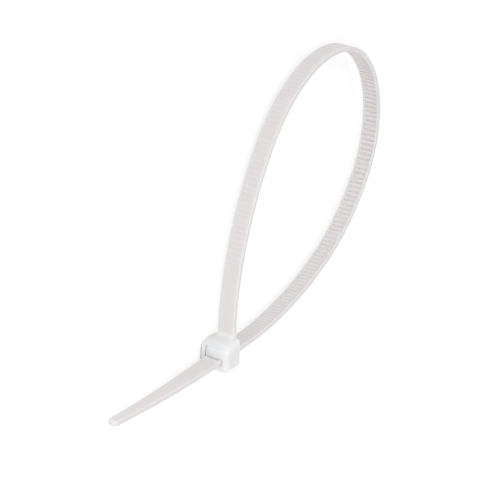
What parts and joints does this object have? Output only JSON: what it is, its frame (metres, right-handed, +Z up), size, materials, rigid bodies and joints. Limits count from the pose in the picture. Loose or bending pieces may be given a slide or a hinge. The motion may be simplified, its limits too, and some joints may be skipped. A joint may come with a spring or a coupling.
{
  "type": "cable tie",
  "caption": "One-piece white nylon cable tie closed into a large loop, with a toothed strap through its locking head and a long tapered tail.",
  "frame": {"origin": "middle of the side of the head that the tie lies on", "axes": "+X from the head toward the far end of the loop, with the tail along -X; +Y the way the strap leaves the head; +Z up, across the strap's width"},
  "size_m": [0.1289, 0.0731, 0.0085],
  "materials": {
    "nylon": "satin"
  },
  "bodies": {
    "root": {"cable_tie": "nylon"}
  },
  "joints": []
}
